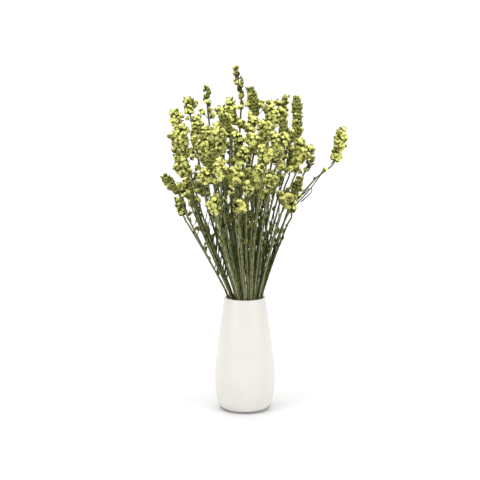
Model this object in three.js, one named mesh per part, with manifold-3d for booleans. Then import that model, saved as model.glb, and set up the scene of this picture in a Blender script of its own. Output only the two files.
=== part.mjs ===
// A dried statice bouquet, sold as myosotis, standing loose in a small white ceramic vase.
// Millimetres, +Z up. The origin is the centre of the vase's flat foot.

import * as THREE from 'three';
import { mergeVertices } from 'three/addons/utils/BufferGeometryUtils.js';
import Module from 'manifold-3d';

const wasm = await Module();
wasm.setup();

// Vase
const VASE_HEIGHT = 150;
const MOUTH_RADIUS = 27.2;
const WALL = 3;
const FOOT_RADIUS = 24;
const FLOOR_THICKNESS = 5;
const VASE_SIDES = 28;

// Clearance that two pieces keep where one rests on the other
const REST_GAP = 0.3;

// Stems: a three-winged section, and how they spread as they rise
const STEM_RADIUS = 1.7;
const STEM_CIRCLE = 22;
const SPREAD_SIDEWAYS = 0.0177;
const SPREAD_DEPTH = 0.015;
const BEND_DEPTH = 16;
const LEAN_LEFT = 0.1;
const LEAN_HEIGHT = 110;
const LEAN_RETURN = 0.03;
const BUNCHES = 6;
const NECK = 7;
const NECK_START = 0.88;
const GATHER = 0.2;
const GATHER_HEIGHT = 40;

// Flower spikes: cupped florets round the front, pointed bracts down the back
const WIDE_SPIKE = 16;
const ROW_PITCH = 6.3;
const SEAT_RADIUS = 1.1;
const CORE_SHARE = 0.7;
const CUP_INSET = 0.2;
const CUP_LIFT = 0.14;
const CUP_CENTRE = 0.74;
const BRACT_REACH = 0.96;
const BRACT_LIFT = 0.4;
const CUP_SPAN = 1.4;
const SECOND_LENGTH = 0.72;
const SECOND_WIDTH = 0.9;
const SECOND_ROOT = 0.15;
const SECOND_LEAN = 0.95;
const SHORTEST_SPIKE = 13;

const FLORETS = 'florets';
const BRACTS = 'bracts';
const LEFT = -1;
const RIGHT = 1;

// Each head of florets: x, y, z of its foot, length, lean to the right in degrees, width,
// the side that faces the front, and where it has a second spike, the side that it leans to
const HEADS = [
  // Top of the bouquet
  [-5, 27, 408, 40, -9, 11, FLORETS],
  [13, 12, 385, 37, -7, 15, BRACTS],
  [-49, 25, 399, 24, 0, 11, BRACTS],
  [-72, 30, 389, 20, -7, 12, FLORETS, RIGHT],
  [-90, 13, 371, 22, -6, 12, FLORETS, RIGHT],
  [-17, 5, 374, 34, -2, 15, FLORETS, LEFT],
  [-20, -14, 361, 28, -18, 15, BRACTS, LEFT],
  [9, -9, 367, 22, -55, 14, FLORETS, RIGHT],
  [50, 34, 387, 24, 9, 11, FLORETS, LEFT],
  [33, 15, 370, 33, -2, 16, FLORETS, RIGHT],
  [67, 15, 358, 51, 1, 14, BRACTS],
  // Left side
  [-78, -6, 344, 31, -9, 15, FLORETS, LEFT],
  [-85, 25, 323, 27, -11, 14, FLORETS, RIGHT],
  [-75, -20, 310, 24, -15, 15, FLORETS, LEFT],
  [-86, -9, 288, 29, -41, 13, BRACTS],
  [-80, 5, 257, 24, -15, 14, FLORETS],
  [-70, -31, 282, 29, -4, 12, FLORETS, LEFT],
  [-70, 33, 265, 11, -8, 11, FLORETS, RIGHT],
  [-62, 6, 341, 42, -4, 14, FLORETS, RIGHT],
  [-44, -21, 335, 39, -13, 16, FLORETS, LEFT],
  // Middle
  [-28, -31, 344, 36, -18, 17, FLORETS],
  [-46, -49, 303, 20, -14, 14, FLORETS, LEFT],
  [-36, -58, 269, 20, -9, 13, FLORETS, LEFT],
  [-40, -38, 318, 28, -5, 14, BRACTS, LEFT],
  [-31, -56, 311, 27, -5, 14, FLORETS],
  [-13, -54, 301, 24, -12, 15, FLORETS, RIGHT],
  [-3, -47, 329, 20, -4, 14, FLORETS],
  [-8, -60, 269, 17, -9, 13, FLORETS, RIGHT],
  [3, -57, 293, 16, -3, 13, FLORETS],
  [19, -27, 280, 17, -5, 12, FLORETS, RIGHT],
  [13, -46, 301, 29, 12, 17, FLORETS, LEFT],
  [-5, -26, 352, 18, -34, 14, FLORETS],
  [10, -36, 344, 22, -7, 15, FLORETS, RIGHT],
  [25, -76, 335, 20, -15, 13, FLORETS, RIGHT],
  [24, -21, 359, 23, -7, 15, FLORETS, RIGHT],
  // Right side, with the long stem that stands away from the rest
  [31, -55, 301, 16, -10, 13, FLORETS, RIGHT],
  [49, -42, 277, 17, -9, 13, FLORETS, RIGHT],
  [60, -15, 263, 26, -6, 13, FLORETS],
  [62, -3, 280, 29, 15, 13, BRACTS],
  [67, -32, 326, 33, 3, 15, FLORETS, RIGHT],
  [80, 32, 313, 21, 30, 11, FLORETS],
  [58, -3, 315, 32, 4, 13, BRACTS, RIGHT],
  [53, -15, 346, 37, -8, 15, BRACTS, RIGHT],
  [43, -49, 345, 27, -28, 15, FLORETS, RIGHT],
  [45, -30, 321, 22, -4, 12, FLORETS, LEFT],
  [117, 18, 327, 44, 13, 17, FLORETS],
  // Back
  [-53, 51, 276, 27, -9, 14, BRACTS, LEFT],
  [-25, 62, 283, 28, -6, 15, BRACTS, LEFT],
  [6, 65, 285, 30, 3, 15, BRACTS, RIGHT],
  [33, 48, 282, 30, 5, 15, BRACTS, RIGHT],
  [-40, 60, 324, 30, -8, 15, BRACTS, LEFT],
  [23, 63, 317, 30, 5, 15, BRACTS, RIGHT],
  [-9, 78, 319, 31, 0, 15, BRACTS, RIGHT],
];

// The stem that leaves the bouquet's fan higher up than the others, by its head's place above
const LONE_STEM = 45;
const LONE_BEND = 78;
const STEM_BEND = 20;

// Twigs: the head whose stem carries it, height, lean, length and thickness
const TWIGS = [
  [45, 302, 48, 19, 1.5],
  [45, 282, 62, 12, 1.8],
  [40, 268, -30, 9, 1.3],
  [14, 262, -62, 10, 1.4],
  [33, 283, 40, 10, 1.3],
  [27, 232, 34, 9, 1.3],
  [49, 238, 45, 9, 1.3],
  [46, 236, -50, 9, 1.3],
];

// Nothing that is kept is smaller than this, in cubic millimetres
const CRUMB_VOLUME = 1;

// Materials
function finish(name, color, roughness) {
  const material = new THREE.MeshStandardMaterial({ color, roughness, metalness: 0 });
  material.name = name;
  return material;
}
const glazedWhite = finish('glazed_white', 0xf1efe6, 0.35);
const stemGreen = finish('stem_green', 0x66713f, 0.85);
const paleYellow = finish('pale_yellow', 0xe9ea7c, 0.9);
const oliveBract = finish('olive_bract', 0x84853f, 0.9);

// Joining solids
function toSolid(geometry) {
  const bare = geometry.clone();
  bare.deleteAttribute('normal');
  bare.deleteAttribute('uv');
  const welded = mergeVertices(bare, 1e-4);
  const mesh = new wasm.Mesh({
    numProp: 3,
    vertProperties: new Float32Array(welded.attributes.position.array),
    triVerts: new Uint32Array(welded.index.array),
  });
  return new wasm.Manifold(mesh);
}

function toGeometry(solid) {
  const mesh = solid.getMesh();
  const geometry = new THREE.BufferGeometry();
  geometry.setAttribute('position', new THREE.BufferAttribute(mesh.vertProperties, 3));
  geometry.setIndex(new THREE.BufferAttribute(mesh.triVerts, 1));
  geometry.computeVertexNormals();
  return geometry;
}

// The joined piece without the pockets and crumbs that florets leave between them
function join(geometries) {
  const whole = geometries.map(toSolid).reduce((sum, piece) => sum.add(piece));
  const skins = toSolid(toGeometry(whole)).decompose().filter((skin) => skin.volume() > CRUMB_VOLUME);
  return toGeometry(skins.reduce((sum, skin) => sum.add(skin)));
}

// Vase: one turned body, open at the mouth, with a rounded lip and a flat foot
function vaseGeometry() {
  const side = new THREE.SplineCurve([
    new THREE.Vector2(FOOT_RADIUS, 0),
    new THREE.Vector2(33.2, 5),
    new THREE.Vector2(38, 20),
    new THREE.Vector2(39.6, 45),
    new THREE.Vector2(38.2, 70),
    new THREE.Vector2(35, 97),
    new THREE.Vector2(30.8, 125),
    new THREE.Vector2(MOUTH_RADIUS, VASE_HEIGHT - WALL / 2),
  ]);
  const outside = side.getPoints(12);
  const inside = side
    .getPoints(10)
    .slice(2, -1)
    .reverse()
    .map((point) => new THREE.Vector2(point.x - WALL, Math.max(point.y, FLOOR_THICKNESS)));
  const lip = [150, 90, 30].map((degrees) => {
    const angle = THREE.MathUtils.degToRad(180 - degrees);
    const middle = MOUTH_RADIUS - WALL / 2;
    return new THREE.Vector2(
      middle + (WALL / 2) * Math.cos(angle),
      VASE_HEIGHT - WALL / 2 + (WALL / 2) * Math.sin(angle),
    );
  });
  const outline = [
    new THREE.Vector2(0, 0),
    ...outside,
    ...lip,
    new THREE.Vector2(MOUTH_RADIUS - WALL, VASE_HEIGHT - WALL / 2),
    ...inside,
    new THREE.Vector2(FOOT_RADIUS, FLOOR_THICKNESS),
    new THREE.Vector2(0, FLOOR_THICKNESS),
  ];
  const turned = new THREE.LatheGeometry(outline, VASE_SIDES);
  turned.rotateX(Math.PI / 2);
  return join([turned]);
}

// How far the stems have spread at a height above the mouth: straight lines that fan out,
// gathered into an upright sheaf below it
function spread(height, rate) {
  if (height >= 0) {
    return 1 + rate * height;
  }
  const depth = Math.min(-height, BEND_DEPTH);
  return 1 - rate * (depth - (depth * depth) / (2 * BEND_DEPTH));
}

function leanLeft(height) {
  if (height < LEAN_HEIGHT) {
    return LEAN_LEFT * Math.max(height, 0);
  }
  return LEAN_LEFT * LEAN_HEIGHT - LEAN_RETURN * (height - LEAN_HEIGHT);
}

// A stem's place in the mouth, from where its head stands
function plantStem(row, index) {
  const [x, y, z, length, lean, width, face, secondSide] = row;
  const height = z - VASE_HEIGHT;
  const place = new THREE.Vector2(
    (x + leanLeft(height)) / spread(height, SPREAD_SIDEWAYS),
    y / spread(height, SPREAD_DEPTH),
  );
  place.clampLength(0, STEM_CIRCLE);
  const stray = new THREE.Vector2(
    x + leanLeft(height) - place.x * spread(height, SPREAD_SIDEWAYS),
    y - place.y * spread(height, SPREAD_DEPTH),
  );
  const angle = THREE.MathUtils.degToRad(lean);
  const axis = new THREE.Vector3(Math.sin(angle), place.y * SPREAD_DEPTH, Math.cos(angle)).normalize();
  const foot = new THREE.Vector3(x, y, z);
  return { index, foot, height, place, stray, axis, length, width, face, secondSide };
}

function stemPoint(stem, height) {
  const start = stem.index === LONE_STEM ? LONE_BEND : STEM_BEND;
  const rise = THREE.MathUtils.clamp((height - start) / (stem.height - start), 0, 1);
  const share = stem.index === LONE_STEM ? rise * rise : THREE.MathUtils.smoothstep(rise, 0, 1);
  return new THREE.Vector3(
    stem.place.x * spread(height, SPREAD_SIDEWAYS) - leanLeft(height) + stem.stray.x * share,
    stem.place.y * spread(height, SPREAD_DEPTH) + stem.stray.y * share,
    VASE_HEIGHT + height,
  );
}

// A path that keeps its knots, and ends square to the head that it carries
class StemPath extends THREE.CatmullRomCurve3 {
  constructor(points, endDirection) {
    super(points);
    this.endDirection = endDirection;
  }

  getPointAt(share, target) {
    return this.getPoint(share, target);
  }

  getTangentAt(share, target = new THREE.Vector3()) {
    return share === 1 ? target.copy(this.endDirection) : this.getTangent(share, target);
  }
}

function stemPath(stem, gatherPoint) {
  const floor = FLOOR_THICKNESS + REST_GAP - VASE_HEIGHT;
  const foot = stemPoint(stem, floor);
  foot.x = THREE.MathUtils.lerp(gatherPoint.x, foot.x, GATHER);
  foot.y = THREE.MathUtils.lerp(gatherPoint.y, foot.y, GATHER);
  const levels = [floor + GATHER_HEIGHT, -BEND_DEPTH, 0];
  const shares = stem.index === LONE_STEM ? [0.25, 0.5, 0.65, 0.78, NECK_START] : [0.45, NECK_START];
  levels.push(...shares.map((share) => share * stem.height));
  const arriving = stem.foot.clone().sub(stemPoint(stem, NECK_START * stem.height)).normalize();
  const neck = stem.foot.clone().addScaledVector(arriving.add(stem.axis).normalize(), -NECK);
  const tip = stem.foot.clone().addScaledVector(stem.axis, -REST_GAP);
  return new StemPath([foot, ...levels.map((level) => stemPoint(stem, level)), neck, tip], stem.axis);
}

// A stem: its three wings run the whole length
function stemGeometry(path) {
  const corners = [0, 1, 2].map((corner) => {
    const angle = (corner * 2 * Math.PI) / 3;
    return new THREE.Vector2(STEM_RADIUS * Math.cos(angle), STEM_RADIUS * Math.sin(angle));
  });
  const section = new THREE.Shape(corners);
  const steps = path.points.length - 1;
  return new THREE.ExtrudeGeometry(section, { steps, extrudePath: path, bevelEnabled: false });
}

// A twig: a short pointed shoot that grows out of a stem
function twigGeometry(stem, level, lean, length, thickness) {
  const root = stemPoint(stem, level - VASE_HEIGHT);
  const angle = THREE.MathUtils.degToRad(lean);
  const outward = Math.sign(stem.place.y) * 0.3;
  const direction = new THREE.Vector3(Math.sin(angle), outward, Math.cos(angle)).normalize();
  const twig = new THREE.ConeGeometry(thickness, length, 3);
  twig.translate(0, length / 2, 0);
  twig.applyQuaternion(new THREE.Quaternion().setFromUnitVectors(new THREE.Vector3(0, 1, 0), direction));
  twig.translate(root.x, root.y, root.z);
  return twig;
}

// Stems that stand next to each other, with their cut feet pressed together on the vase's floor
function bunchGeometry(stems) {
  const middle = new THREE.Vector3();
  const floor = FLOOR_THICKNESS + REST_GAP - VASE_HEIGHT;
  stems.forEach((stem) => middle.addScaledVector(stemPoint(stem, floor), 1 / stems.length));
  const pieces = stems.map((stem) => stemGeometry(stemPath(stem, middle)));
  TWIGS.forEach(([carrier, level, lean, length, thickness]) => {
    const stem = stems.find((candidate) => candidate.index === carrier);
    if (stem) {
      pieces.push(twigGeometry(stem, level, lean, length, thickness));
    }
  });
  return join(pieces);
}

// Outline of a spike: how full it is at a share of its length
function fullness(share) {
  return 0.55 + 0.45 * Math.sin(Math.PI * (0.12 + 0.78 * share));
}

// A spike: rows of florets raised from one skin. Each row is turned half a floret from the
// last, a cupped floret is a raised rim with a sunken middle, and a bract is a raised point.
function spikeGeometry(foot, axis, front, length, width) {
  const rows = Math.max(3, Math.round(length / ROW_PITCH));
  const round = width < WIDE_SPIKE ? 4 : 5;
  const radius = width / 2;
  const ahead = front.clone().addScaledVector(axis, -front.dot(axis)).normalize();
  const aside = new THREE.Vector3().crossVectors(axis, ahead);
  const positions = [];
  const faces = [];

  const put = (share, turn, reach) => {
    const point = foot.clone().addScaledVector(axis, share * length);
    point.addScaledVector(ahead, Math.cos(turn) * reach);
    point.addScaledVector(aside, Math.sin(turn) * reach);
    return positions.push(point.x, point.y, point.z) / 3 - 1;
  };

  const turnOf = (row, column) => ((column + (row % 2) / 2) * 2 * Math.PI) / round;
  const shareOf = (row) => row / (rows + 0.5);
  const rings = [];
  for (let row = 0; row <= rows; row += 1) {
    const reach = row === 0 ? SEAT_RADIUS : CORE_SHARE * radius * fullness(shareOf(row));
    const ring = [];
    for (let column = 0; column < round; column += 1) {
      ring.push(put(shareOf(row), turnOf(row, column), reach));
    }
    rings.push(ring);
  }
  const at = (row, column) => rings[row][(column + round) % round];

  for (let row = 1; row < rows; row += 1) {
    for (let column = 0; column < round; column += 1) {
      const between = row % 2 === 1 ? column + 1 : column;
      const corners = [at(row - 1, between), at(row, column + 1), at(row + 1, between), at(row, column)];
      const turn = turnOf(row, column + 0.5);
      const full = radius * fullness(shareOf(row));
      if (Math.cos(turn) > Math.cos(CUP_SPAN)) {
        const half = Math.PI / round;
        const step = 1 / (rows + 0.5);
        const inset = 1 - CUP_INSET;
        const lift = CUP_LIFT * step;
        const middle = shareOf(row) + lift;
        const rim = [
          put(middle - step * inset, turn, full * 0.9),
          put(middle, turn + half * inset, full),
          put(middle + step * inset, turn, full),
          put(middle, turn - half * inset, full),
        ];
        const heart = put(middle, turn, full * CUP_CENTRE);
        for (let side = 0; side < 4; side += 1) {
          const next = (side + 1) % 4;
          faces.push(corners[side], corners[next], rim[next]);
          faces.push(corners[side], rim[next], rim[side]);
          faces.push(rim[side], rim[next], heart);
        }
      } else {
        const point = put(shareOf(row) + BRACT_LIFT / rows, turn, full * BRACT_REACH);
        for (let side = 0; side < 4; side += 1) {
          faces.push(corners[side], corners[(side + 1) % 4], point);
        }
      }
    }
  }

  const crown = put(1, 0, 0);
  for (let column = 0; column < round; column += 1) {
    faces.push(at(0, column), at(0, column + 1), at(1, column));
    const last = rows % 2 === 0 ? column : column + 1;
    faces.push(at(rows, column + 1), at(rows, column), at(rows - 1, last));
    faces.push(at(rows, column), at(rows, column + 1), crown);
    if (column > 0 && column < round - 1) {
      faces.push(at(0, 0), at(0, column + 1), at(0, column));
    }
  }
  const geometry = new THREE.BufferGeometry();
  geometry.setAttribute('position', new THREE.Float32BufferAttribute(positions, 3));
  geometry.setIndex(faces);
  return geometry;
}

// A head: one spike, or two that grow from the same point
function headGeometry(stem) {
  const back = stem.face === FLORETS ? -1 : 1;
  const front = new THREE.Vector3(stem.place.x / (2 * STEM_CIRCLE), back, 0);
  const spikes = [spikeGeometry(stem.foot, stem.axis, front, stem.length, stem.width)];
  if (stem.secondSide) {
    const root = stem.foot.clone().addScaledVector(stem.axis, SECOND_ROOT * stem.length);
    const sideways = new THREE.Vector3(stem.secondSide * SECOND_LEAN, 0, 0);
    const length = Math.max(SHORTEST_SPIKE, SECOND_LENGTH * stem.length);
    const direction = stem.axis.clone().add(sideways).normalize();
    spikes.push(spikeGeometry(root, direction, front, length, SECOND_WIDTH * stem.width));
  }
  return join(spikes);
}

// The bouquet in its vase
const bouquet = new THREE.Group();

function place(name, geometry, material) {
  const mesh = new THREE.Mesh(geometry, material);
  mesh.name = name;
  bouquet.add(mesh);
}

place('vase', vaseGeometry(), glazedWhite);

const stems = HEADS.map(plantStem);
for (let bunch = 0; bunch < BUNCHES; bunch += 1) {
  const members = stems.filter((stem) => {
    const turn = (stem.place.angle() / (2 * Math.PI)) * BUNCHES;
    return Math.floor(turn) === bunch;
  });
  place(`stems_${bunch + 1}`, bunchGeometry(members), stemGreen);
}

stems.forEach((stem) => {
  const number = String(stem.index + 1).padStart(2, '0');
  const material = stem.face === FLORETS ? paleYellow : oliveBract;
  place(`head_${number}`, headGeometry(stem), material);
});

export default bouquet;
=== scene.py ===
import math
import random

import bmesh
import bpy
from mathutils import Matrix, Vector


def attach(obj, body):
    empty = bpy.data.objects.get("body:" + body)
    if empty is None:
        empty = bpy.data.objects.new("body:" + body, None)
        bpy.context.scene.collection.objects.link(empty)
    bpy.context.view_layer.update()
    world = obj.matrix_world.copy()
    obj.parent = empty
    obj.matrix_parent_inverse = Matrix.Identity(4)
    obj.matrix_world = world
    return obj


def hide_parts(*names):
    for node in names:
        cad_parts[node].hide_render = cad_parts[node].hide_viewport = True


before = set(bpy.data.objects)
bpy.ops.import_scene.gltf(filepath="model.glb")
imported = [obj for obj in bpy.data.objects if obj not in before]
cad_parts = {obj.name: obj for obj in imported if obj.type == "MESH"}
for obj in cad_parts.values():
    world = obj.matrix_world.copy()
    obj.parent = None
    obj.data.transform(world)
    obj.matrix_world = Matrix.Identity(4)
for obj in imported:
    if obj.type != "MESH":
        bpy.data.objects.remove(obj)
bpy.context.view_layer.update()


# Vase: a small slip-cast bottle of white earthenware, turned smooth, with a rounded lip and
# a flat foot. It is glazed inside and out, and the foot has the same glaze as the rest.
MM = 0.001
VASE_HEIGHT = 150
MOUTH_RADIUS = 27.2
WALL = 3
FOOT_RADIUS = 24
FOOT_RIM = 2
FOOT_RECESS = 0.8
FLOOR_THICKNESS = 5
FLOOR_CORNER = 2.5
# The outer side from the foot to the lip, as radius and height
SIDE = ((FOOT_RADIUS, 0), (33.2, 5), (38, 20), (39.6, 45), (38.2, 70), (35, 97), (30.8, 125),
        (MOUTH_RADIUS, VASE_HEIGHT - WALL / 2))
SIDE_STEPS = 8
TURN_STEPS = 96


def curve_through(points, steps, power):
    """A smooth curve through points. Power 0 spaces it evenly, and 0.25 keeps it close to its corners."""
    ends = [points[0] * 2 - points[1], *points, points[-1] * 2 - points[-2]]
    made = []
    for a, b, c, d in zip(ends, ends[1:], ends[2:], ends[3:]):
        before, here, after = ((q - p).length_squared ** power for p, q in ((a, b), (b, c), (c, d)))
        leaving = ((b - a) / before - (c - a) / (before + here) + (c - b) / here) * here
        arriving = ((c - b) / here - (d - b) / (here + after) + (d - c) / after) * here
        for k in range(steps):
            t = k / steps
            made.append(b + leaving * t + (3 * (c - b) - 2 * leaving - arriving) * t * t
                        + (2 * (b - c) + leaving + arriving) * t ** 3)
    return made + [points[-1].copy()]


def to_mesh(bm, name):
    """The finished shape in metres, with its faces outward."""
    bmesh.ops.recalc_face_normals(bm, faces=bm.faces)
    bmesh.ops.scale(bm, vec=(MM, MM, MM), verts=bm.verts)
    mesh = bpy.data.meshes.new(name)
    bm.to_mesh(mesh)
    bm.free()
    return mesh


def place_in_scene(name, mesh, materials):
    """A smooth-shaded object, at the place that its mesh has."""
    for material in materials:
        mesh.materials.append(material)
    for polygon in mesh.polygons:
        polygon.use_smooth = True
    piece = bpy.data.objects.new(name, mesh)
    bpy.context.scene.collection.objects.link(piece)
    return piece


def new_piece(name, mesh, materials, replaced):
    """A piece of the bouquet, which stands for a node of the frame."""
    piece = place_in_scene(name, mesh, materials)
    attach(piece, "root")
    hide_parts(replaced)


def linear(colour):
    """An sRGB hex colour as linear red, green, blue and alpha."""
    parts = [int(colour[i:i + 2], 16) / 255 for i in (1, 3, 5)]
    return [p / 12.92 if p <= 0.04045 else ((p + 0.055) / 1.055) ** 2.4 for p in parts] + [1]


def add(tree, kind, inputs=None, stops=(), **settings):
    """Adds a node with its settings. Each input is a value, or the output that feeds it, and each
    stop of a colour ramp is a place and a hex colour."""
    node = tree.nodes.new(kind)
    for name, value in settings.items():
        setattr(node, name, value)
    for socket, value in (inputs or {}).items():
        if isinstance(value, bpy.types.NodeSocket):
            tree.links.new(value, node.inputs[socket])
        else:
            node.inputs[socket].default_value = value
    for _ in stops[2:]:
        node.color_ramp.elements.new(1)
    for k, (place, colour) in enumerate(stops):
        node.color_ramp.elements[k].position = place
        node.color_ramp.elements[k].color = linear(colour)
    return node


def new_material(name, **values):
    """A material, its nodes and the inputs of its shader, where the plain values are set."""
    material = bpy.data.materials.new(name)
    material.use_nodes = True
    tree = material.node_tree
    shader = tree.nodes["Principled BSDF"]
    for socket, value in values.items():
        shader.inputs[socket.replace("_", " ")].default_value = value
    return material, tree, shader.inputs


bm = bmesh.new()
side = curve_through([Vector((r, 0, z)) for r, z in SIDE], SIDE_STEPS, 0)
middle, top = MOUTH_RADIUS - WALL / 2, VASE_HEIGHT - WALL / 2
lip = [Vector((middle + WALL / 2 * math.cos(a), 0, top + WALL / 2 * math.sin(a)))
       for a in (math.radians(20 * k) for k in range(1, 10))]
inside = [Vector((p.x - WALL, 0, p.z)) for p in reversed(side[:-1]) if p.z > FLOOR_THICKNESS + 1]
hollow = [Vector((inside[-1].x - FLOOR_CORNER, 0, FLOOR_THICKNESS)), Vector((0, 0, FLOOR_THICKNESS))]
foot = [Vector((0, 0, FOOT_RECESS)), Vector((FOOT_RADIUS - FOOT_RIM - 1, 0, FOOT_RECESS)),
        Vector((FOOT_RADIUS - FOOT_RIM, 0, 0))]
outline = [bm.verts.new(p) for p in foot + side + lip + inside + hollow]
edges = [bm.edges.new(pair) for pair in zip(outline, outline[1:])]
bmesh.ops.spin(bm, geom=outline + edges, cent=(0, 0, 0), axis=(0, 0, 1), angle=2 * math.pi,
               steps=TURN_STEPS, use_merge=True)
bmesh.ops.remove_doubles(bm, verts=bm.verts, dist=1e-4)

# Earthenware, dipped in glaze: a satin, slightly wavy cream white, with broad soft highlights.
# Its tone drifts over some 60 mm where the glaze pooled, and its ripples are about 9 mm apart
glaze, tree, shader = new_material("glazed_earthenware", Roughness=0.3, IOR=1.5, Coat_Weight=0.3,
                                   Coat_Roughness=0.12)
at = add(tree, "ShaderNodeTexCoord").outputs["Object"]
pooling = add(tree, "ShaderNodeTexNoise", {"Vector": at, "Scale": 1 / (60 * MM), "Detail": 3})
cream = add(tree, "ShaderNodeValToRGB", {"Fac": pooling.outputs["Fac"]},
            ((0.3, "#dfdbd4"), (0.7, "#e3e0da")))
tree.links.new(cream.outputs["Color"], shader["Base Color"])
ripple = add(tree, "ShaderNodeTexNoise", {"Vector": at, "Scale": 1 / (9 * MM), "Detail": 2})
bump = add(tree, "ShaderNodeBump", {"Height": ripple.outputs["Fac"], "Strength": 0.05,
                                    "Distance": 0.2 * MM})
tree.links.new(bump.outputs["Normal"], shader["Normal"])

new_piece("vase_body", to_mesh(bm, "vase_body"), [glaze], "vase")


# Stems: cut shoots of statice, dried upright. Each is a thin green core with three papery
# wings down its length, and stands loose in the vase, with its foot on the vase's floor.
FLORETS, BRACTS = "florets", "bracts"
LEFT, RIGHT = -1, 1
# Where the foot of each head stands: x, y, z, length, lean to the right in degrees, width,
# the side that faces the front, and the side that a second spike leans to
HEADS = (
    # Top of the bouquet
    (-5, 27, 408, 40, -9, 11, FLORETS, None),
    (13, 12, 385, 37, -7, 15, BRACTS, None),
    (-49, 25, 399, 24, 0, 11, BRACTS, None),
    (-72, 30, 389, 20, -7, 12, FLORETS, RIGHT),
    (-90, 13, 371, 22, -6, 12, FLORETS, RIGHT),
    (-17, 5, 374, 34, -2, 15, FLORETS, LEFT),
    (-20, -14, 361, 28, -18, 15, BRACTS, LEFT),
    (9, -9, 367, 22, -55, 14, FLORETS, RIGHT),
    (50, 34, 387, 24, 9, 11, FLORETS, LEFT),
    (33, 15, 370, 33, -2, 16, FLORETS, RIGHT),
    (67, 15, 358, 51, 1, 14, BRACTS, None),
    # Left side
    (-78, -6, 344, 31, -9, 15, FLORETS, LEFT),
    (-85, 25, 323, 27, -11, 14, FLORETS, RIGHT),
    (-75, -20, 310, 24, -15, 15, FLORETS, LEFT),
    (-86, -9, 288, 29, -41, 13, BRACTS, None),
    (-80, 5, 257, 24, -15, 14, FLORETS, None),
    (-70, -31, 282, 29, -4, 12, FLORETS, LEFT),
    (-70, 33, 265, 11, -8, 11, FLORETS, RIGHT),
    (-62, 6, 341, 42, -4, 14, FLORETS, RIGHT),
    (-44, -21, 335, 39, -13, 16, FLORETS, LEFT),
    # Middle
    (-28, -31, 344, 36, -18, 17, FLORETS, None),
    (-46, -49, 303, 20, -14, 14, FLORETS, LEFT),
    (-36, -58, 269, 20, -9, 13, FLORETS, LEFT),
    (-40, -38, 318, 28, -5, 14, BRACTS, LEFT),
    (-31, -56, 311, 27, -5, 14, FLORETS, None),
    (-13, -54, 301, 24, -12, 15, FLORETS, RIGHT),
    (-3, -47, 329, 20, -4, 14, FLORETS, None),
    (-8, -60, 269, 17, -9, 13, FLORETS, RIGHT),
    (3, -57, 293, 16, -3, 13, FLORETS, None),
    (19, -27, 280, 17, -5, 12, FLORETS, RIGHT),
    (13, -46, 301, 29, 12, 17, FLORETS, LEFT),
    (-5, -26, 352, 18, -34, 14, FLORETS, None),
    (10, -36, 344, 22, -7, 15, FLORETS, RIGHT),
    (25, -76, 335, 20, -15, 13, FLORETS, RIGHT),
    (24, -21, 359, 23, -7, 15, FLORETS, RIGHT),
    # Right side, with the long stem that stands away from the rest
    (31, -55, 301, 16, -10, 13, FLORETS, RIGHT),
    (49, -42, 277, 17, -9, 13, FLORETS, RIGHT),
    (60, -15, 263, 26, -6, 13, FLORETS, None),
    (62, -3, 280, 29, 15, 13, BRACTS, None),
    (67, -32, 326, 33, 3, 15, FLORETS, RIGHT),
    (80, 32, 313, 21, 30, 11, FLORETS, None),
    (58, -3, 315, 32, 4, 13, BRACTS, RIGHT),
    (53, -15, 346, 37, -8, 15, BRACTS, RIGHT),
    (43, -49, 345, 27, -28, 15, FLORETS, RIGHT),
    (45, -30, 321, 22, -4, 12, FLORETS, LEFT),
    (117, 18, 327, 44, 13, 17, FLORETS, None),
    # Back
    (-53, 51, 276, 27, -9, 14, BRACTS, LEFT),
    (-25, 62, 283, 28, -6, 15, BRACTS, LEFT),
    (6, 65, 285, 30, 3, 15, BRACTS, RIGHT),
    (33, 48, 282, 30, 5, 15, BRACTS, RIGHT),
    (-40, 60, 324, 30, -8, 15, BRACTS, LEFT),
    (23, 63, 317, 30, 5, 15, BRACTS, RIGHT),
    (-9, 78, 319, 31, 0, 15, BRACTS, RIGHT),
)
LONE_STEM = 45
BUNCHES = 6
# A stem's foot is just clear of the vase's floor. Heights along a stem start at the vase's mouth
REST_GAP = 0.3
STEM_FOOT = FLOOR_THICKNESS + REST_GAP - VASE_HEIGHT
# At the mouth the stems fill a circle. Above it they fan out with each millimetre of height, and
# below it they bend to run straight down
STEM_CIRCLE = 22
SPREAD_SIDEWAYS = 0.0177
SPREAD_DEPTH = 0.015
BEND_DEPTH = 16
# The whole bouquet leans to the left up to a height, and a little back again above it
LEAN_LEFT = 0.1
LEAN_HEIGHT = 110
LEAN_RETURN = 0.03
# From this height on, a stem leaves the fan for the place of its own head. The long one does so
# from higher up
STRAY_START = 20
LONE_STRAY_START = 78
# The path of a stem is fixed at these shares of its height, and then at a neck before its head
NECK = 7
NECK_START = 0.88
PATH_SHARES = (0.45, NECK_START)
LONE_PATH_SHARES = (0.25, 0.5, 0.65, 0.78, NECK_START)
INTO_HEAD = 2
# The feet of a bunch are drawn together, to a share of their distance from its middle, and its
# stems are back at their own places at a height above them
GATHER = 0.2
GATHER_HEIGHT = 40
STEM_CORE = 0.8
STEM_TAPER = 0.35
WING_REACH = 1.7
WING_HALF_ANGLE = 12
# Scale leaves clasp each stem near these shares of its height
LEAF_SHARES = (0.3, 0.55, 0.8)
# Twigs and side shoots reach this far out of the picture's plane, for each unit in it, and their
# sections face forward
REACH_OUT = 0.3
FORWARD = Vector((0, -1, 0))
# Bare twigs: the stem that carries each, its height over the table, lean, length and thickness
TWIGS = (
    (45, 302, 48, 19, 1.5), (45, 282, 62, 12, 1.8), (40, 268, -30, 9, 1.3), (14, 262, -62, 10, 1.4),
    (33, 283, 40, 10, 1.3), (27, 232, 34, 9, 1.3), (49, 238, 45, 9, 1.3), (46, 236, -50, 9, 1.3),
)


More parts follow.
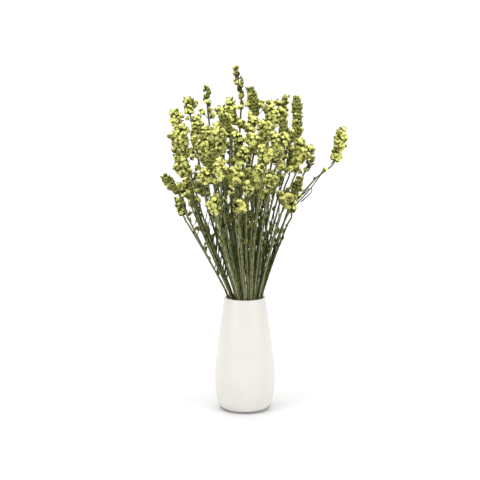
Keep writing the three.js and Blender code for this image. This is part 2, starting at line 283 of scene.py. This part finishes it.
def spread(height, rate):
    """How far stems have fanned out at a height above the mouth."""
    if height >= 0:
        return 1 + rate * height
    depth = min(-height, BEND_DEPTH)
    return 1 - rate * (depth - depth * depth / (2 * BEND_DEPTH))


def lean_left(height):
    """How far the bouquet has leaned to the left at a height above the mouth."""
    if height < LEAN_HEIGHT:
        return LEAN_LEFT * max(height, 0)
    return LEAN_LEFT * LEAN_HEIGHT - LEAN_RETURN * (height - LEAN_HEIGHT)


class Stem:
    """One cut shoot, and the head that it carries."""

    def __init__(self, number, row):
        x, y, z, self.length, lean, self.width, self.face, self.second = row
        self.number = number
        self.height = z - VASE_HEIGHT
        self.foot = Vector((x, y, z))
        # Its place in the circle at the mouth, and how far its head is from where the fan takes it
        self.place = Vector(((x + lean_left(self.height)) / spread(self.height, SPREAD_SIDEWAYS),
                             y / spread(self.height, SPREAD_DEPTH)))
        if self.place.length > STEM_CIRCLE:
            self.place = self.place.normalized() * STEM_CIRCLE
        across, deep = self.fanned(self.height)
        self.stray = Vector((x + lean_left(self.height) - across, y - deep))
        # The direction of its head, and the way that the florets of the head face
        angle = math.radians(lean)
        self.axis = Vector((math.sin(angle), self.place.y * SPREAD_DEPTH, math.cos(angle))).normalized()
        self.front = Vector((self.place.x / (2 * STEM_CIRCLE), -1 if self.face == FLORETS else 1, 0))
        # The bunch that it is part of: each is one sector of the circle
        turn = math.atan2(self.place.y, self.place.x) % (2 * math.pi)
        self.bunch = math.floor(turn / (2 * math.pi) * BUNCHES)

    def fanned(self, height):
        """Where the fan alone would take the stem, to the right and to the back."""
        return self.place.x * spread(height, SPREAD_SIDEWAYS), self.place.y * spread(height, SPREAD_DEPTH)

    def point(self, height):
        """Where the stem is at a height above the mouth."""
        start = LONE_STRAY_START if self.number == LONE_STEM else STRAY_START
        rise = min(max((height - start) / (self.height - start), 0), 1)
        share = rise * rise if self.number == LONE_STEM else rise * rise * (3 - 2 * rise)
        across, deep = self.fanned(height)
        return Vector((across - lean_left(height) + self.stray.x * share, deep + self.stray.y * share,
                       VASE_HEIGHT + height))

    def path(self, gathered):
        """From the cut foot, pressed towards the others, to the head."""
        cut = self.point(STEM_FOOT)
        cut.x = gathered.x + (cut.x - gathered.x) * GATHER
        cut.y = gathered.y + (cut.y - gathered.y) * GATHER
        shares = LONE_PATH_SHARES if self.number == LONE_STEM else PATH_SHARES
        levels = [STEM_FOOT + GATHER_HEIGHT, -BEND_DEPTH, 0] + [share * self.height for share in shares]
        arriving = (self.foot - self.point(NECK_START * self.height)).normalized()
        neck = self.foot - (arriving + self.axis).normalized() * NECK
        tip = self.foot + self.axis * INTO_HEAD
        return curve_through([cut, *map(self.point, levels), neck, tip], 5, 0.25)


def frame_at(point, along, ahead):
    """A place whose z runs along a direction and whose x looks ahead."""
    z = along.normalized()
    x = (ahead - z * ahead.dot(z)).normalized()
    return Matrix.Translation(point) @ Matrix((x, z.cross(x), z)).transposed().to_4x4()


def sweep(bm, path, section, sizes, ahead, material_index=0):
    """Extrudes a closed section along a path, square to it, and closes both ends."""
    start = len(bm.faces)
    ring = [bm.verts.new(corner) for corner in section]
    edges = [bm.edges.new(pair) for pair in zip(ring, ring[1:] + ring[:1])]
    bm.faces.new(ring)
    last = Matrix()
    for i, point in enumerate(path):
        along = path[min(i + 1, len(path) - 1)] - path[max(i - 1, 0)]
        here = frame_at(point, along, ahead) @ Matrix.Scale(sizes(i / (len(path) - 1)), 4)
        if i:
            grown = bmesh.ops.extrude_edge_only(bm, edges=edges)["geom"]
            ring = [part for part in grown if isinstance(part, bmesh.types.BMVert)]
            edges = [part for part in grown if isinstance(part, bmesh.types.BMEdge)]
        bmesh.ops.transform(bm, matrix=here @ last.inverted(), verts=ring)
        last = here
    bmesh.ops.contextual_create(bm, geom=edges)
    bm.faces.ensure_lookup_table()
    for face in bm.faces[start:]:
        face.material_index = material_index


def to_shape(bm, name, material_index=0):
    """A finished shape for append, still in millimetres."""
    bmesh.ops.recalc_face_normals(bm, faces=bm.faces)
    for face in bm.faces:
        face.material_index = material_index
    mesh = bpy.data.meshes.new(name)
    bm.to_mesh(mesh)
    bm.free()
    return mesh


def append(bm, mesh, matrix):
    """Adds a copy of a finished shape at a place, and gives the copy's points."""
    start = len(bm.verts)
    bm.from_mesh(mesh)
    bm.verts.ensure_lookup_table()
    new = bm.verts[start:]
    bmesh.ops.transform(bm, matrix=matrix, verts=new)
    return new


def leaf_at(root, along, outward, size):
    """A place for a leaf: its tip points along, and its back looks outward."""
    x = along.cross(outward).normalized()
    turned = Matrix((x, along, x.cross(along))).transposed().to_4x4()
    return Matrix.Translation(root) @ turned @ Matrix.Scale(size, 4)


# The section of a stem, three thin wings round a core, and that of a round twig
WINGED = [Vector((r * math.cos(a), r * math.sin(a), 0))
          for wing in range(3)
          for r, a in ((WING_REACH, math.radians(120 * wing - WING_HALF_ANGLE)),
                       (WING_REACH, math.radians(120 * wing + WING_HALF_ANGLE)),
                       (STEM_CORE, math.radians(120 * wing + 60)))]
TWIG = [Vector((math.cos(a), math.sin(a), 0)) for a in (math.radians(60 * k) for k in range(6))]

# A scale leaf: a narrow boat of dry tissue that clasps the stem where it branches
bm = bmesh.new()
bmesh.ops.create_grid(bm, x_segments=2, y_segments=4, size=0.5)
for v in bm.verts:
    along, across = v.co.y + 0.5, v.co.x * 2
    half = 0.3 * math.sin(math.pi * (0.15 + 0.8 * along))
    v.co = (across * half, along, 0.16 * math.sin(math.pi * 0.5 * along) - across * across * half * 0.8)
bmesh.ops.solidify(bm, geom=bm.faces, thickness=0.05)
scale_leaf = to_shape(bm, "scale_leaf")

# Herb stem, dried in the air: grey green, matt and streaked lengthways. It is paler along the thin wings, a
# painted highlight, and darker on the core between them, a painted shade in the grooves
stem_green, tree, shader = new_material("air_dried_stem", Roughness=0.8, Specular_IOR_Level=0.25)
at = add(tree, "ShaderNodeTexCoord").outputs["Object"]
# Fibres are about 0.3 mm apart, drawn 1.2 mm apart so that they show
fibres = add(tree, "ShaderNodeMapping", {"Vector": at, "Scale": (1, 1, 0.05)})
streaks = add(tree, "ShaderNodeTexNoise", {"Vector": fibres.outputs["Vector"], "Scale": 1 / (1.2 * MM),
                                           "Detail": 2})
# A mix node has sockets of the same name for numbers and colours, so these are found by their place
MIX_SHARE, MIX_FIRST, MIX_SECOND, MIXED = 0, 6, 7, 2
# The wing value paints a highlight along the wings and shade on the core between them
wing = add(tree, "ShaderNodeAttribute", attribute_name="wing").outputs["Fac"]
hue = add(tree, "ShaderNodeAttribute", attribute_name="hue").outputs["Fac"]
paleness_and_painted_light = add(tree, "ShaderNodeMath", {0: wing, 1: 0.45, 2: streaks.outputs["Fac"]},
               operation="MULTIPLY_ADD")
# The top stop is the painted highlight of the wings, and the bottom stops are the painted shade of the core
green = add(tree, "ShaderNodeValToRGB", {"Fac": paleness_and_painted_light.outputs["Value"]},
            ((0.3, "#141908"), (0.62, "#353f1d"), (0.95, "#9ba476")))
olive = add(tree, "ShaderNodeValToRGB", {"Fac": paleness_and_painted_light.outputs["Value"]},
            ((0.3, "#1f1d0b"), (0.62, "#4a4623"), (0.95, "#aea778")))
tint = add(tree, "ShaderNodeMix", {MIX_SHARE: hue, MIX_FIRST: green.outputs["Color"],
                                   MIX_SECOND: olive.outputs["Color"]}, data_type="RGBA")
tree.links.new(tint.outputs[MIXED], shader["Base Color"])
bump = add(tree, "ShaderNodeBump", {"Height": streaks.outputs["Fac"], "Strength": 0.4,
                                    "Distance": 0.2 * MM})
tree.links.new(bump.outputs["Normal"], shader["Normal"])

chance = random.Random(11)
stems = [Stem(number, row) for number, row in enumerate(HEADS)]
for bunch in range(BUNCHES):
    members = [stem for stem in stems if stem.bunch == bunch]
    gathered = sum((stem.point(STEM_FOOT) for stem in members), Vector()) / len(members)
    whole = bmesh.new()
    # What the material reads: 1 on a wing, where a highlight is painted, and 0 on the core, where shade is
    # painted, and a tone that each stem has alone
    for layer in ("wing", "hue"):
        whole.verts.layers.float.new(layer)
    for stem in members:
        bm = bmesh.new()
        wing, hue = bm.verts.layers.float.new("wing"), bm.verts.layers.float.new("hue")
        turn = chance.uniform(0, 2 * math.pi)
        ahead = Vector((math.cos(turn), math.sin(turn), 0))
        path = stem.path(gathered)
        sweep(bm, path, WINGED, lambda share: 1 - STEM_TAPER * share, ahead)
        tone = chance.random() ** 2
        # Each third point of the section is on the core, between two wings, where the painted shade goes
        for k, v in enumerate(bm.verts):
            v[wing] = 0 if k % 3 == 2 else 1
            v[hue] = tone
        for share in LEAF_SHARES:
            level = (share + chance.uniform(-0.1, 0.1)) * stem.height
            turn = chance.uniform(0, 2 * math.pi)
            outward = Vector((math.cos(turn), math.sin(turn), 0))
            along = (Vector((0, 0, 1)) + outward * 0.25).normalized()
            place = leaf_at(stem.point(level) + outward * STEM_CORE, along, outward, chance.uniform(5, 7))
            append(bm, scale_leaf, place)
        part = bpy.data.meshes.new("part")
        bm.to_mesh(part)
        whole.from_mesh(part)
        bm.free()
        bpy.data.meshes.remove(part)
    for carrier, level, lean, length, thickness in TWIGS:
        for stem in members:
            if stem.number == carrier:
                angle = math.radians(lean)
                along = Vector((math.sin(angle), math.copysign(REACH_OUT, stem.place.y), math.cos(angle)))
                along.normalize()
                root = stem.point(level - VASE_HEIGHT)
                tip = root + along * length + Vector((0, 0, length * 0.25))
                path = curve_through([root, root + along * length * 0.5, tip], 4, 0)
                sweep(whole, path, TWIG, lambda share: thickness * (0.5 - 0.25 * share), FORWARD)
    new_piece(f"stem_bunch_{bunch + 1}", to_mesh(whole, f"stem_bunch_{bunch + 1}"), [stem_green],
              f"stems_{bunch + 1}")


# Flower heads: spikes of statice, each with papery calyces crowded along its front and a row
# of overlapping bracts down its back. They grow on the stem and dried on it, still open.
SHORTEST_SPIKE = 13
# A second spike, as shares of the first: its length, its width, where it grows and how it slopes
SECOND_LENGTH = 0.72
SECOND_WIDTH = 0.9
SECOND_ROOT = 0.15
SECOND_LEAN = 0.95
# Spikelets grow this far apart, up to this far round the axis on each side. Each is the golden
# part of that width further round than the last one, so that they spread evenly
SPIKELET_SPACE = 7.1
SPIKELET_SPAN = math.radians(104)
GOLDEN = 0.618034
# Slender spikes have small, sparse spikelets. Those of short spikes, and of spikes that stand low
# over the table, are looser than the rest
SLENDER_WIDTH = 11
SLENDER_SPACE = 1.5
SHORT_LENGTH = 21
LOOSE_BELOW = 296
LOOSE_SPACE = 1.3
# Rows of five and of six bracts take turns, at these degrees from the middle of the back
BRACT_ROW = 4.2
ROW_OF_FIVE = (-80, -42, 0, 42, 80)
ROW_OF_SIX = (-100, -62, -22, 22, 62, 100)
# A stem that is taller than this above the mouth has three shoots under its head, and not one
TALL_STEM = 165
# A shoot that ends lower than this above the mouth is bare, but for a tuft of bracts
BARE_BELOW = 122
TUFT_BRACTS = 5
# The turn from one bract or spikelet of a shoot to the next, in radians
SHOOT_TURN = 2.4
# The one leaf that is left on the long stem, dried into a curl
CURLED_LEAF = ((73, 12, 273), (79, 11, 279), (86, 10, 286), (86, 10, 291), (81, 10, 289))
# Side shoots with spikelets: the stem that carries each, its height over the table, lean, length
# and number of spikelets
SHOOTS = (
    (3, 382, -30, 7, 4), (3, 374, 44, 9, 4), (2, 378, -38, 12, 4), (2, 384, 20, 7, 2),
    (3, 362, 39, 11, 4), (2, 362, -45, 16, 3), (3, 358, -50, 12, 3), (4, 354, 41, 14, 3),
    (3, 350, 39, 5, 3), (11, 326, 39, 9, 2), (18, 326, -30, 9, 2), (31, 322, -21, 5, 2),
    (25, 286, -40, 6, 2), (2, 274, -21, 6, 3), (21, 278, 35, 10, 3), (1, 382, 25, 18, 4),
    (1, 382, 48, 17, 4), (12, 300, 30, 9, 3), (11, 310, 42, 12, 3), (18, 330, -40, 12, 3),
    (45, 262, 38, 74, 1), (45, 322, 38, 9, 1), (45, 276, 30, 6, 1),
)


def fullness(share):
    """How full a spike is at a share of its length, with a rounded tip."""
    rounded = math.sqrt(min(1, max(0, (1.03 - share) / 0.22)))
    return (0.55 + 0.45 * math.sin(math.pi * (0.12 + 0.78 * share))) * rounded


def layered_bmesh():
    """An empty shape whose points know how far up a floret they are, which sets how pale it is painted,
    with painted shade low down, and how faded it is.
    """
    bm = bmesh.new()
    bm.verts.layers.float.new("rise")
    bm.verts.layers.float.new("age")
    return bm


# A calyx: a papery funnel with five lobes, 1 across and 1 deep, round a shallow throat
LOBES = 5
THROAT = 0.7
# Its rings, up the funnel, over the rim and down to the heart: radius, height, lobing, paleness.
# The paleness paints the funnel's foot and its throat darker. At the foot this is partly its own green
# tube and partly painted shade, and in the throat it is painted shade
CALYX_RINGS = ((0.35, 0.7, 0.1, 0.5), (0.5, 1.0, 0.2, 1.0), (0.17, 0.76, 0.0, 0.55))

bm = layered_bmesh()
rise = bm.verts.layers.float["rise"]
bmesh.ops.create_circle(bm, cap_ends=True, segments=2 * LOBES, radius=0.1)
edges = list(bm.edges)
for radius, height, lobing, paleness_and_painted_light in CALYX_RINGS:
    grown = bmesh.ops.extrude_edge_only(bm, edges=edges)["geom"]
    ring = [part for part in grown if isinstance(part, bmesh.types.BMVert)]
    edges = [part for part in grown if isinstance(part, bmesh.types.BMEdge)]
    for v in ring:
        turn = math.atan2(v.co.y, v.co.x)
        lobe = lobing * math.cos(LOBES * turn)
        reach = radius * (1 + lobe)
        v.co = (reach * math.cos(turn), reach * math.sin(turn), height * (1 + 0.4 * lobe))
        v[rise] = paleness_and_painted_light
inner = bmesh.ops.contextual_create(bm, geom=edges)["faces"]
heart = bmesh.ops.poke(bm, faces=inner)["verts"][0]
heart.co.z = THROAT
# The throat is painted a little darker than the rim, as painted shade
heart[rise] = 0.45
floret = to_shape(bm, "calyx")

# A bract: a keeled scale, 1 long, that narrows to a point
bm = layered_bmesh()
rise = bm.verts.layers.float["rise"]
bmesh.ops.create_grid(bm, x_segments=2, y_segments=3, size=0.5)
for v in bm.verts:
    along, across = v.co.y + 0.5, v.co.x * 2
    half = 0.42 * math.sin(math.pi * (0.2 + 0.74 * along))
    v.co = (across * half, along, 0.2 * math.sin(math.pi * along) - across * across * half * 0.5)
    # Paler towards the tip and the edges: the pale dry edge is its own colour, and the dark root is painted
    # shade
    v[rise] = min(1, along * 0.7 + abs(across) * 0.35)
bmesh.ops.solidify(bm, geom=bm.faces, thickness=0.06)
bract = to_shape(bm, "bract", 1)

# A stalk has the colour of the lower part of a bract, dark with the painted shade of a bract's root
STALK_RISE = 0.33


def stalk(bm, path, sizes, ahead):
    """A thin round axis, made of the same matter as the bracts."""
    start = len(bm.verts)
    sweep(bm, path, TWIG, sizes, ahead, 1)
    bm.verts.ensure_lookup_table()
    layer = bm.verts.layers.float["rise"]
    for v in bm.verts[start:]:
        v[layer] = STALK_RISE


def grow(bm, shape, place, age):
    """Adds a copy of a calyx or a bract, of an age from 0 for fresh to 1 for faded."""
    layer = bm.verts.layers.float["age"]
    for v in append(bm, shape, place):
        v[layer] = age


def spikelet(bm, root, along, below, depth, mouth, fade):
    """Two to four calyces that open side by side from one point, and two bracts that hold them."""
    aside = Matrix.Rotation(chance.uniform(0, 2 * math.pi), 3, along) @ along.orthogonal().normalized()
    count = chance.choice((2, 3, 3, 4))
    tone = fade + chance.random() * 0.7
    for k in range(count):
        out = Matrix.Rotation(2 * math.pi * k / count, 3, along) @ aside
        facing = (along + out * chance.uniform(0.3, 0.6)).normalized()
        across, deep = mouth * chance.uniform(0.85, 1.15), depth * chance.uniform(0.8, 1.1)
        place = frame_at(root + out * 0.7, facing, out.cross(facing))
        size = Matrix.Diagonal((across, across, deep, 1))
        grow(bm, floret, place @ size, min(1, tone + chance.random() * 0.3))
    for turn in (-0.9, 0.9):
        out = Matrix.Rotation(turn, 3, along) @ (below - along * below.dot(along)).normalized()
        way = (along + out * 0.5).normalized()
        grow(bm, bract, leaf_at(root + out * 0.9 - along, way, out, depth * 1.15), chance.random())


def spike(bm, foot, axis, front, length, width):
    """One spike: spikelets crowded on the side that looks ahead and up, and bracts on the other, along
    a slightly arched axis."""
    ahead = front + Vector((0, 0, 1.3))
    ahead = (ahead - axis * ahead.dot(axis)).normalized()
    ahead = Matrix.Rotation(chance.uniform(-0.8, 0.8), 3, axis) @ ahead
    aside = axis.cross(ahead)
    arch = (aside * chance.uniform(-1, 1) + ahead * chance.uniform(-0.3, 1)) * length * 0.1
    lumps, phase, fade = chance.uniform(1.5, 2.6), chance.random() * 6, chance.uniform(-0.1, 0.3)
    slender = width <= SLENDER_WIDTH
    loose = length < SHORT_LENGTH or foot.z < LOOSE_BELOW
    space = SPIKELET_SPACE * (SLENDER_SPACE if slender else LOOSE_SPACE if loose else 1)
    fade += 0.35 if slender else 0

    def centre(share):
        """The arched axis, at a share of its length."""
        return foot + axis * length * share + arch * share * share

    def full(share):
        """How far the florets reach from the axis there, with a few lumps along the spike."""
        return width / 2 * fullness(share) * (1 + 0.2 * math.sin(lumps * 2 * math.pi * share + phase))

    count = max(6, round(SPIKELET_SPAN * width * length / space ** 2))
    for k in range(count):
        share = min(1, max(0, (k + 0.5 + chance.uniform(-0.9, 0.9)) / count))
        turn = SPIKELET_SPAN * (2 * ((k * GOLDEN + phase) % 1) - 1) + chance.uniform(-0.2, 0.2)
        outward = ahead * math.cos(turn) + aside * math.sin(turn)
        # Spikelets stand out from the axis at its foot, and lean along it towards its tip
        tilt = math.radians(18 + 50 * share + chance.uniform(-16, 16))
        along = outward * math.cos(tilt) + axis * math.sin(tilt)
        # Those at the two sides reach out further, which frays the outline
        fringe = 1.12 if abs(turn) > 1.3 else 1
        reach = full(share) * chance.uniform(0.8, 1.16) * fringe - 1
        depth = max(3.2, reach * 0.7)
        root = centre(share) + outward * reach - along * depth
        mouth = chance.uniform(3, 4) if slender else chance.uniform(3.4, 4.7)
        spikelet(bm, root, along, -axis, depth, mouth, fade)
    spikelet(bm, centre(1) - axis * 5, (axis + ahead * 0.2).normalized(), -ahead, 4.6, 4, fade)
    rows = max(3, round(length / BRACT_ROW))
    for row in range(rows):
        share = (row + 0.2) / rows
        places = ROW_OF_SIX if row % 2 else ROW_OF_FIVE
        for degrees in chance.sample(places, 2) if slender else places:
            turn = math.radians(180 + degrees + chance.uniform(-8, 8))
            outward = ahead * math.cos(turn) + aside * math.sin(turn)
            along = (axis + outward * chance.uniform(0.25, 0.6)).normalized()
            root = centre(share) - axis * 2 + outward * full(share) * 0.6
            grow(bm, bract, leaf_at(root, along, outward, chance.uniform(5.4, 7.6)), chance.random())
            # A few spikelets stray in among the bracts
            if chance.random() < 0.1:
                spikelet(bm, root + axis * 2, along, -axis, 4, chance.uniform(2.8, 3.6), fade + 0.2)
    thickness = width * (0.1 if slender else 0.16)
    stalk(bm, [centre(-0.02), centre(0.3), centre(0.6), centre(0.88)],
          lambda share: thickness * (1 - 0.6 * share), ahead)


def side_shoot(bm, root, along, length, count):
    """A thin stalk with spikelets near its end, or with only a tuft of bracts there."""
    held = root + along * length
    thickness = 0.55 + 0.006 * length
    bend = along.orthogonal().normalized() * length * chance.uniform(0.03, 0.08)
    path = curve_through([root, root + along * length * 0.45 + bend, held], 4, 0)
    # Its section faces a little off forward, because some shoots run straight to the front
    stalk(bm, path, lambda share: thickness * (1 - 0.4 * share), FORWARD + Vector((0.01, 0, 0.1)))
    aside = along.orthogonal().normalized()
    if not count:
        for k in range(TUFT_BRACTS):
            out = Matrix.Rotation(SHOOT_TURN * k, 3, along) @ aside
            way = (along + out * 0.5).normalized()
            grow(bm, bract, leaf_at(held - along * k, way, out, chance.uniform(4, 6)), 0.5)
    fade = chance.uniform(0, 0.3)
    for k in range(count):
        out = Matrix.Rotation(SHOOT_TURN * k + chance.uniform(-0.4, 0.4), 3, along) @ aside
        way = (along + out * chance.uniform(0.4, 0.9) * min(count - 1, 1)).normalized()
        seat = held + along * chance.uniform(1.4, 2.2) * (k - 1)
        spikelet(bm, seat, way, -out, 4, chance.uniform(3.6, 5), fade)


def shoots_of(stem):
    """The shoots of a stem: how steeply each rises, its height, length and number of spikelets."""
    # Short ones just under the head
    for k in range(3 if stem.height > TALL_STEM else 1):
        level = stem.height - chance.uniform(1, 9) - 6 * k
        yield chance.uniform(0.7, 1.5), level, chance.uniform(4, 10), chance.choice((1, 2, 3))
    # One from the middle of the stem, and two long thin ones from low on it
    steepness, level = chance.uniform(2.4, 5), stem.height * chance.uniform(0.45, 0.7)
    yield steepness, level, stem.height * 0.2, chance.choice((1, 1, 2))
    for k in range(2):
        level, length = stem.height * chance.uniform(0.1, 0.35), stem.height * chance.uniform(0.3, 0.5)
        yield chance.uniform(5, 9), level, length, chance.choice((0, 0, 1))
    # Two bare ones further below the head
    for k in (6, 7):
        yield chance.uniform(0.7, 1.5), stem.height - chance.uniform(1, 9) - 6 * k, chance.uniform(5, 12), 0


# Papery calyx, dried in the air: thin and matt, pale yellow at its rim and greener at its root,
# with some that have faded to straw. The dark olive at the root is partly its own green tube and
# partly painted shade where the florets crowd, and the throat is painted a little darker as shade
calyx, tree, shader = new_material("air_dried_calyx", Roughness=0.9, Specular_IOR_Level=0.3)
rise = add(tree, "ShaderNodeAttribute", attribute_name="rise").outputs["Fac"]
age = add(tree, "ShaderNodeAttribute", attribute_name="age").outputs["Fac"]
# The low stops paint shade at the root and in the throat, and the high ones are the calyx's own pale yellow
fresh = add(tree, "ShaderNodeValToRGB", {"Fac": rise},
            ((0.0, "#4f5419"), (0.25, "#c9ce56"), (0.55, "#f4f67c"), (1.0, "#fdfdae")))
faded = add(tree, "ShaderNodeValToRGB", {"Fac": rise},
            ((0.0, "#3f3a14"), (0.6, "#a29a48"), (1.0, "#d6cd7c")))
straw = add(tree, "ShaderNodeMapRange", {"Value": age, "From Min": 0.88, "From Max": 1.0})
tint = add(tree, "ShaderNodeMix", {MIX_SHARE: straw.outputs["Result"], MIX_FIRST: fresh.outputs["Color"],
                                   MIX_SECOND: faded.outputs["Color"]}, data_type="RGBA")
tree.links.new(tint.outputs[MIXED], shader["Base Color"])

# Bract, dried in the air: olive, matt and a little leathery, with a paler dry edge. Its root is painted
# near black, a painted shade between the spikelets
leather, tree, shader = new_material("air_dried_bract", Roughness=0.8, IOR=1.45)
rise = add(tree, "ShaderNodeAttribute", attribute_name="rise").outputs["Fac"]
olive = add(tree, "ShaderNodeValToRGB", {"Fac": rise},
            ((0.0, "#1a1e05"), (0.45, "#565a24"), (0.85, "#8f9144"), (1.0, "#bcbd64")))
tree.links.new(olive.outputs["Color"], shader["Base Color"])

for stem in stems:
    bm = layered_bmesh()
    spike(bm, stem.foot, stem.axis, stem.front, stem.length, stem.width)
    if stem.second:
        root = stem.foot + stem.axis * SECOND_ROOT * stem.length
        direction = (stem.axis + Vector((stem.second * SECOND_LEAN, 0, 0))).normalized()
        spike(bm, root, direction, stem.front, max(SHORTEST_SPIKE, SECOND_LENGTH * stem.length),
              SECOND_WIDTH * stem.width)
    if stem.number == LONE_STEM:
        curl = curve_through([Vector(place) for place in CURLED_LEAF], 5, 0)
        stalk(bm, curl, lambda share: 0.9 - 0.5 * share, FORWARD)
    else:
        for steepness, level, length, count in shoots_of(stem):
            turn = chance.uniform(0, 2 * math.pi)
            along = Vector((math.cos(turn), math.sin(turn), steepness)).normalized()
            side_shoot(bm, stem.point(level), along, length, count if level + length > BARE_BELOW else 0)
    for carrier, level, lean, length, count in SHOOTS:
        if carrier == stem.number:
            angle = math.radians(lean)
            along = Vector((math.sin(angle), -REACH_OUT, math.cos(angle))).normalized()
            side_shoot(bm, stem.point(level - VASE_HEIGHT), along, length, count)
    name = f"flower_head_{stem.number + 1:02d}"
    new_piece(name, to_mesh(bm, name), [calyx, leather], f"head_{stem.number + 1:02d}")


# Floor: a sweep of matt white card, cut from a roll. It lies flat under the vase and curves up
# behind it without a crease, so that no line shows there.
SWEEP_WIDTH = 8
SWEEP_FRONT = -2.4
SWEEP_BACK = 1.8
SWEEP_HEIGHT = 3.2
SWEEP_BEND = 0.9

bm = bmesh.new()
line = [bm.verts.new((-SWEEP_WIDTH / 2, y, z))
        for y, z in ((SWEEP_FRONT, 0), (SWEEP_BACK, 0), (SWEEP_BACK, SWEEP_HEIGHT))]
edges = [bm.edges.new(pair) for pair in zip(line, line[1:])]
wide = bmesh.ops.extrude_edge_only(bm, edges=edges)["geom"]
bmesh.ops.translate(bm, vec=(SWEEP_WIDTH, 0, 0),
                    verts=[part for part in wide if isinstance(part, bmesh.types.BMVert)])
fold = [edge for edge in bm.edges if all(v.co.y > SWEEP_BACK - 0.1 and v.co.z == 0 for v in edge.verts)]
bmesh.ops.bevel(bm, geom=fold, offset=SWEEP_BEND, offset_type="OFFSET", segments=16, profile=0.5,
                affect="EDGES", material=-1)

# Card, uncoated: an even near-white with no gloss. Its tone drifts a little over 0.7 m
card, tree, shader = new_material("uncoated_card", Roughness=0.95, Specular_IOR_Level=0.2)
at = add(tree, "ShaderNodeTexCoord").outputs["Object"]
grain = add(tree, "ShaderNodeTexNoise", {"Vector": at, "Scale": 1 / (667 * MM), "Detail": 1})
white = add(tree, "ShaderNodeValToRGB", {"Fac": grain.outputs["Fac"]},
            ((0.3, "#e1e1e1"), (0.7, "#e3e3e3")))
tree.links.new(white.outputs["Color"], shader["Base Color"])

place_in_scene("paper_sweep", to_shape(bm, "paper_sweep"), [card])


# Light: a broad soft panel overhead, one at each side and one for the card behind, in a pale
# room. The panels are large and close, so that the light is even and has no hard edges.
def soft_panel(name, place, target, size, power):
    """A rectangular light that looks at a target. Its size is in metres and its power in watts."""
    light = bpy.data.lights.new(name, "AREA")
    light.shape = "RECTANGLE"
    light.size, light.size_y = size
    light.energy = power
    panel = bpy.data.objects.new(name, light)
    panel.location = place
    panel.rotation_euler = (Vector(target) - Vector(place)).to_track_quat("-Z", "Y").to_euler()
    bpy.context.scene.collection.objects.link(panel)


soft_panel("overhead_panel", (-0.1, -0.35, 2.0), (0, 0, 0.2), (1.8, 1.6), 33)
soft_panel("left_panel", (-1.8, -1.4, 1.0), (0, 0, 0.25), (1.0, 1.4), 21)
soft_panel("right_panel", (1.8, -1.2, 1.0), (0, 0, 0.25), (1.0, 1.4), 21)
soft_panel("backdrop_panel", (0, 0.5, 2.4), (0, 1.8, 1.0), (2.4, 0.8), 30)
world = bpy.data.worlds.new("pale_room")
world.use_nodes = True
world.node_tree.nodes["Background"].inputs["Color"].default_value = (1, 1, 1, 1)
world.node_tree.nodes["Background"].inputs["Strength"].default_value = 0.3
bpy.context.scene.world = world
bpy.context.scene.view_settings.view_transform = "Standard"


# Camera: 1.4 m away and 9 degrees above level, with a long lens, as the ellipses of the vase's
# mouth and foot show. It looks at the point that is in the middle of the photograph.
AIM = Vector((-6.485, 0, 224.82)) * MM
DISTANCE = 1.4
ABOVE = math.radians(9)
SENSOR = 36
PICTURE_PIXELS = 480
LENS_PIXELS = 1079.37

lens = bpy.data.cameras.new("camera")
lens.sensor_width = SENSOR
lens.lens = SENSOR * LENS_PIXELS / PICTURE_PIXELS
camera = bpy.data.objects.new("camera", lens)
camera.location = AIM + Vector((0, -math.cos(ABOVE), math.sin(ABOVE))) * DISTANCE
camera.rotation_euler = (AIM - camera.location).to_track_quat("-Z", "Y").to_euler()
bpy.context.scene.collection.objects.link(camera)
bpy.context.scene.camera = camera
